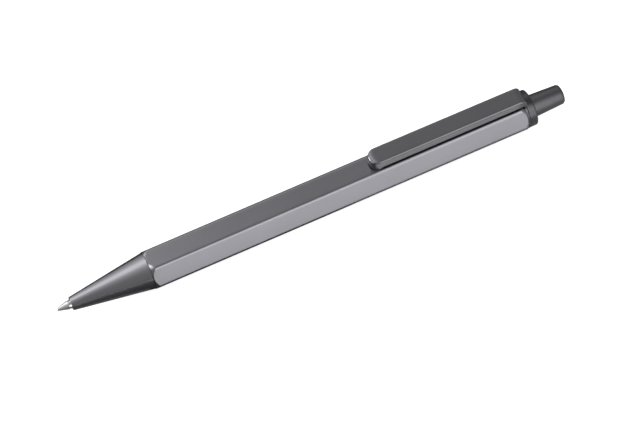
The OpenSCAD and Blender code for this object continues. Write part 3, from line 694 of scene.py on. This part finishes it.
def ring_shell(half_width):
    """Closed plate of the leg and the ring, between the barrel and the collar. Its places along the pen
    crowd towards the back, back - thickness * (1 - cos t), where the leg rounds over into the arm."""
    junction = math.asin(half_width / RING_R)
    over_leg = np.linspace(-junction, junction, LEG_POINTS)
    rest = np.linspace(junction, 2 * np.pi - junction, ROUND_POINTS)[1:-1]
    angle = np.concatenate([over_leg, rest])
    crown = CLIP_TOP_Z - CLIP_RISE - AXIS_Z
    into_ring = 1 - np.cos(np.linspace(0, np.pi / 2, DEPTH_POINTS))
    x = (RING_BACK_X - (RING_BACK_X - RING_FRONT_X) * into_ring)[::-1]
    top = crown - quarter_drop(RING_BACK_X - x, CLIP_BEND_R)
    leg = np.stack([leg_radius(angle, half_width, height, CLIP_EDGE_R) for height in top])
    broken = quarter_drop(np.minimum(x - RING_FRONT_X, RING_BACK_X - x), RING_BREAK)[:, None]
    outline = np.maximum(RING_R - broken, leg)
    radius = np.concatenate([outline, np.full((2, len(angle)), THREAD_R)])
    station = np.concatenate([x, [RING_BACK_X, RING_FRONT_X]])
    points = np.stack(np.broadcast_arrays(station[:, None], radius * np.sin(angle),
                                          AXIS_Z + radius * np.cos(angle)), -1)
    return points.reshape(-1, 3), grid_quads(len(station), len(angle), True, True).tolist()


def make_spring():
    """Wire wound round the axis: its centre line is a helix whose height rises by the end pitch in the
    first and last turn and evenly between, and a circle across it is carried along."""
    turn = np.linspace(0, SPRING_TURNS, SPRING_TURNS * STEPS_A_TURN + 1)
    length = SPRING_BACK_X - SPRING_FRONT_X - 2 * WIRE_R
    pitch = (length - 2 * END_PITCH) / (SPRING_TURNS - 2)
    rise = (END_PITCH * np.minimum(turn, 1) + pitch * np.clip(turn - 1, 0, SPRING_TURNS - 2)
            + END_PITCH * np.maximum(turn - SPRING_TURNS + 1, 0))
    angle = 2 * np.pi * turn
    outwards = np.stack([0 * angle, np.sin(angle), np.cos(angle)], 1)
    centre = COIL_R * outwards
    centre[:, 0] = SPRING_FRONT_X + WIRE_R + rise
    along = np.gradient(centre, axis=0)
    along /= np.linalg.norm(along, axis=1)[:, None]
    upwards = np.cross(along, outwards)
    round_wire = np.linspace(0, 2 * np.pi, WIRE_SIDES, endpoint=False)[None, :, None]
    across = np.cos(round_wire) * outwards[:, None] + np.sin(round_wire) * upwards[:, None]
    points = centre[:, None] + WIRE_R * across
    points[..., 2] += AXIS_Z
    last = len(turn) * WIRE_SIDES
    faces = grid_quads(len(turn), WIRE_SIDES, False, True).tolist()
    faces += [list(range(WIRE_SIDES)), list(range(last - WIRE_SIDES, last))]
    shell = points.reshape(-1, 3), faces
    piece = make("coil_spring", [shell], SPRING_FINISH, SPRING_SHARP_ANGLE)
    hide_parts("return_spring")
    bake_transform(piece)


def dress_inner_pieces():
    """Finishes of the solids inside that are shown as they are."""
    finishes = {"plunger": BLACK_FINISH, "guide_sleeve": NATURAL_FINISH, "rotor": NATURAL_FINISH,
                "refill_tube": TUBE_FINISH, "refill_ink": INK_FINISH, "refill_neck": BRASS_FINISH,
                "refill_end_plug": NATURAL_FINISH}
    for name, finish in finishes.items():
        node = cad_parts[name]
        for slot in node.material_slots:
            slot.material = finish


# Camera: the photograph's place and direction, and how far it is turned about its own line of sight
CAMERA_PLACE = Vector((-0.16064, -0.41072, 0.74322))
CAMERA_AIM = Vector((-0.00013, -0.00422, 0.0048))
CAMERA_ROLL = math.radians(-4.507)
CAMERA_LENS = 198.47
CAMERA_SENSOR = 36
CAMERA_CLIP = (0.05, 20)


def make_camera():
    """Camera at the photograph's viewing angle."""
    data = bpy.data.cameras.new("camera")
    data.sensor_width = CAMERA_SENSOR
    data.lens = CAMERA_LENS
    data.clip_start, data.clip_end = CAMERA_CLIP
    camera = bpy.data.objects.new("camera", data)
    turn = (CAMERA_AIM - CAMERA_PLACE).to_track_quat("-Z", "Y").to_matrix().to_4x4()
    camera.matrix_world = Matrix.Translation(CAMERA_PLACE) @ turn @ Matrix.Rotation(CAMERA_ROLL, 4, "Z")
    bpy.context.scene.collection.objects.link(camera)
    bpy.context.scene.camera = camera


# Studio: brightness round the pen, where 1 is white. Directions are degrees from straight up, and the far
# side counts as plus. One list is what a piece sees that reflects forwards, and the other backwards
FORWARD_GLOW = [(-90, 0.12), (-50, 0.34), (-25, 0.46), (0, 0.95), (15, 1.4), (30, 1.65), (45, 1.6),
                (90, 0.6)]
BACKWARD_GLOW = [(-90, 0.4), (-86, 2.7), (-73, 2.6), (-58, 1.2), (-44, 0.7), (-25, 0.2), (12, 0.18),
                 (28, 0.25), (42, 0.75), (58, 0.8), (68, 0.3), (80, 0.12), (90, 0.1)]
# Leans along the pen over which one list gives way to the other, and the sky to its dim ends
GLOW_CHANGE = (0.0, 0.10)
END_GLOW = 0.35
END_CHANGE = (0.55, 0.22)
BRIGHTEST = 3.0
# Soft boxes, each with its centre, what it faces, its width and height and its brightness
SOFT_BOXES = {
    "back_box": dict(centre=(-0.09, 0.20, 0.34), aim=(-0.03, 0, 0), size=(0.16, 0.22), brightness=0.65),
    "side_box": dict(centre=(-0.517, -0.011, 0.28), aim=(-0.044, 0, 0), size=(0.15, 0.20), brightness=4.0),
    "low_box": dict(centre=(-0.414, 0.2375, 0.104), aim=(0.016, 0, 0.011), size=(0.16, 0.14),
                    brightness=12.0),
    "far_box": dict(centre=(-0.27, 0.445, 0.03), aim=(-0.044, 0, 0), size=(0.14, 0.08), brightness=2.5),
    "rear_box": dict(centre=(0.18, -0.29, 0.37), aim=(0.06, 0, 0.005), size=(0.14, 0.38), brightness=1.8),
}
# Cards that lie on the floor beside the pen and are seen only in the metal: their corners and their grey
CARDS = {
    "front_card": dict(low=(-0.30, -0.30), high=(-0.0455, -0.0065), grey=0.12),
    "under_card": dict(low=(-0.30, -0.0065), high=(-0.0455, 0.005), grey=0.36),
    "middle_card": dict(low=(-0.0455, -0.05), high=(0.010, 0.005), grey=0.1),
    "near_card": dict(low=(0.010, -0.05), high=(0.0585, -0.0125), grey=0.1),
    "clip_card": dict(low=(0.010, -0.0075), high=(0.0585, 0.005), grey=0.12),
    "rear_card": dict(low=(0.0585, -0.07), high=(0.16, 0.005), grey=0.85),
    "far_card": dict(low=(-0.30, 0.005), high=(0.16, 0.22), grey=0.08),
}
FLOOR_HALF = 4
FLOOR_GREY = 0.82
FLOOR_GLOW = 0.8
FLOOR_DROP = 0.03 * MM
CARD_RISE = 0.01 * MM
# Floor's and cards' own grain: noise scale, how far the grey varies, and the cards' roughness
SPECKLE_SCALE = 300
SPECKLE_SHARE = 0.01
PAPER_SCALE = 400
PAPER_SHARE = 0.05
PAPER_ROUGHNESS = 0.9


def make_world():
    """Sky whose brightness depends on the direction round the pen, arctan2(y, z), and is blended between
    two lists by how far the direction leans backwards, x. Past both ends of the pen it is dim."""
    world = bpy.data.worlds.new("studio")
    bpy.context.scene.world = world
    world.use_nodes = True
    nodes = Nodes(world.node_tree)
    place = nodes.add("ShaderNodeTexCoord").outputs["Generated"]
    split = nodes.add("ShaderNodeSeparateXYZ", {"Vector": place}).outputs
    angle = nodes.add("ShaderNodeMath", {0: split["Y"], 1: split["Z"]}, operation="ARCTAN2").outputs[0]
    share = nodes.spread(angle, 0, 1, -math.pi, math.pi)
    lean = nodes.spread(split["X"], 0, 1, *GLOW_CHANGE)
    ramps = [nodes.ramp(share, glow, BRIGHTEST) for glow in (FORWARD_GLOW, BACKWARD_GLOW)]
    round_pen = nodes.add("ShaderNodeMix", {0: lean, 2: ramps[0], 3: ramps[1]}, data_type="FLOAT").outputs[0]
    lengthwise = nodes.add("ShaderNodeMath", {0: split["X"]}, operation="ABSOLUTE").outputs[0]
    aside = nodes.spread(lengthwise, 0, 1, *END_CHANGE)
    glow = nodes.add("ShaderNodeMix", {0: aside, 2: END_GLOW, 3: round_pen}, data_type="FLOAT").outputs[0]
    sky = nodes.add("ShaderNodeBackground", {"Color": (1, 1, 1, 1), "Strength": glow})
    output = nodes.add("ShaderNodeOutputWorld")
    world.node_tree.links.new(sky.outputs["Background"], output.inputs["Surface"])


def make_soft_boxes():
    """Rectangular lamps. A lamp's power is its brightness times its area times pi."""
    for name, box in SOFT_BOXES.items():
        lamp = bpy.data.lights.new(name, "AREA")
        lamp.shape = "RECTANGLE"
        lamp.size, lamp.size_y = box["size"]
        lamp.energy = box["brightness"] * lamp.size * lamp.size_y * math.pi
        holder = bpy.data.objects.new(name, lamp)
        centre = Vector(box["centre"])
        holder.location = centre
        holder.rotation_euler = (Vector(box["aim"]) - centre).to_track_quat("-Z", "Y").to_euler()
        bpy.context.scene.collection.objects.link(holder)


def plate(name, low, high, level, material):
    """Flat rectangle that faces up, which isn't part of the pen."""
    mesh = bpy.data.meshes.new(name)
    corners = [(low[0], low[1]), (high[0], low[1]), (high[0], high[1]), (low[0], high[1])]
    mesh.from_pydata([(x, y, level) for x, y in corners], [], [(0, 1, 2, 3)])
    mesh.materials.append(material)
    made = bpy.data.objects.new(name, mesh)
    bpy.context.scene.collection.objects.link(made)
    return made


def make_cards():
    """Cards that set what the metal shows of the floor: dark ones keep the white out of the undersides."""
    for name, card in CARDS.items():
        material, nodes = new_material(name)
        paper = nodes.noise(PAPER_SCALE, detail=2.0)
        tint = nodes.blend_colours(paper, *shades((card["grey"],) * 3, PAPER_SHARE))
        nodes.surface(Base_Color=tint, Roughness=PAPER_ROUGHNESS)
        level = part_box("barrel")[0].z - FLOOR_DROP + CARD_RISE
        made = plate(name, card["low"], card["high"], level, material)
        made.visible_camera = made.visible_diffuse = made.visible_shadow = made.visible_transmission = False


def make_floor():
    """Pale matte floor that shows white to the camera and in the metal, and keeps the pen's shadow."""
    material, nodes = new_material("floor")
    speckle = nodes.noise(SPECKLE_SCALE, detail=2.0)
    tint = nodes.blend_colours(speckle, *shades((FLOOR_GREY,) * 3, SPECKLE_SHARE))
    matte = nodes.add("ShaderNodeBsdfDiffuse", {"Color": tint})
    path = nodes.add("ShaderNodeLightPath").outputs
    seen = path["Is Camera Ray"]
    for ray in ("Is Glossy Ray", "Is Transmission Ray"):
        seen = nodes.add("ShaderNodeMath", {0: seen, 1: path[ray]}, operation="MAXIMUM").outputs[0]
    glow = nodes.add("ShaderNodeMath", {0: seen, 1: FLOOR_GLOW}, operation="MULTIPLY")
    light = nodes.add("ShaderNodeEmission", {"Strength": glow.outputs[0]})
    both = nodes.add("ShaderNodeAddShader", {0: matte.outputs[0], 1: light.outputs[0]})
    output = nodes.add("ShaderNodeOutputMaterial")
    material.node_tree.links.new(both.outputs[0], output.inputs["Surface"])
    edge = (FLOOR_HALF, FLOOR_HALF)
    plate("floor", (-FLOOR_HALF, -FLOOR_HALF), edge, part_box("barrel")[0].z - FLOOR_DROP, material)


make_camera()
make_world()
make_soft_boxes()
make_floor()
make_cards()
make_barrel()
make_nose()
make_clip()
make_collar()
make_button()
make_point()
make_ball()
make_spring()
dress_inner_pieces()

bpy.context.scene.view_settings.view_transform = "Standard"
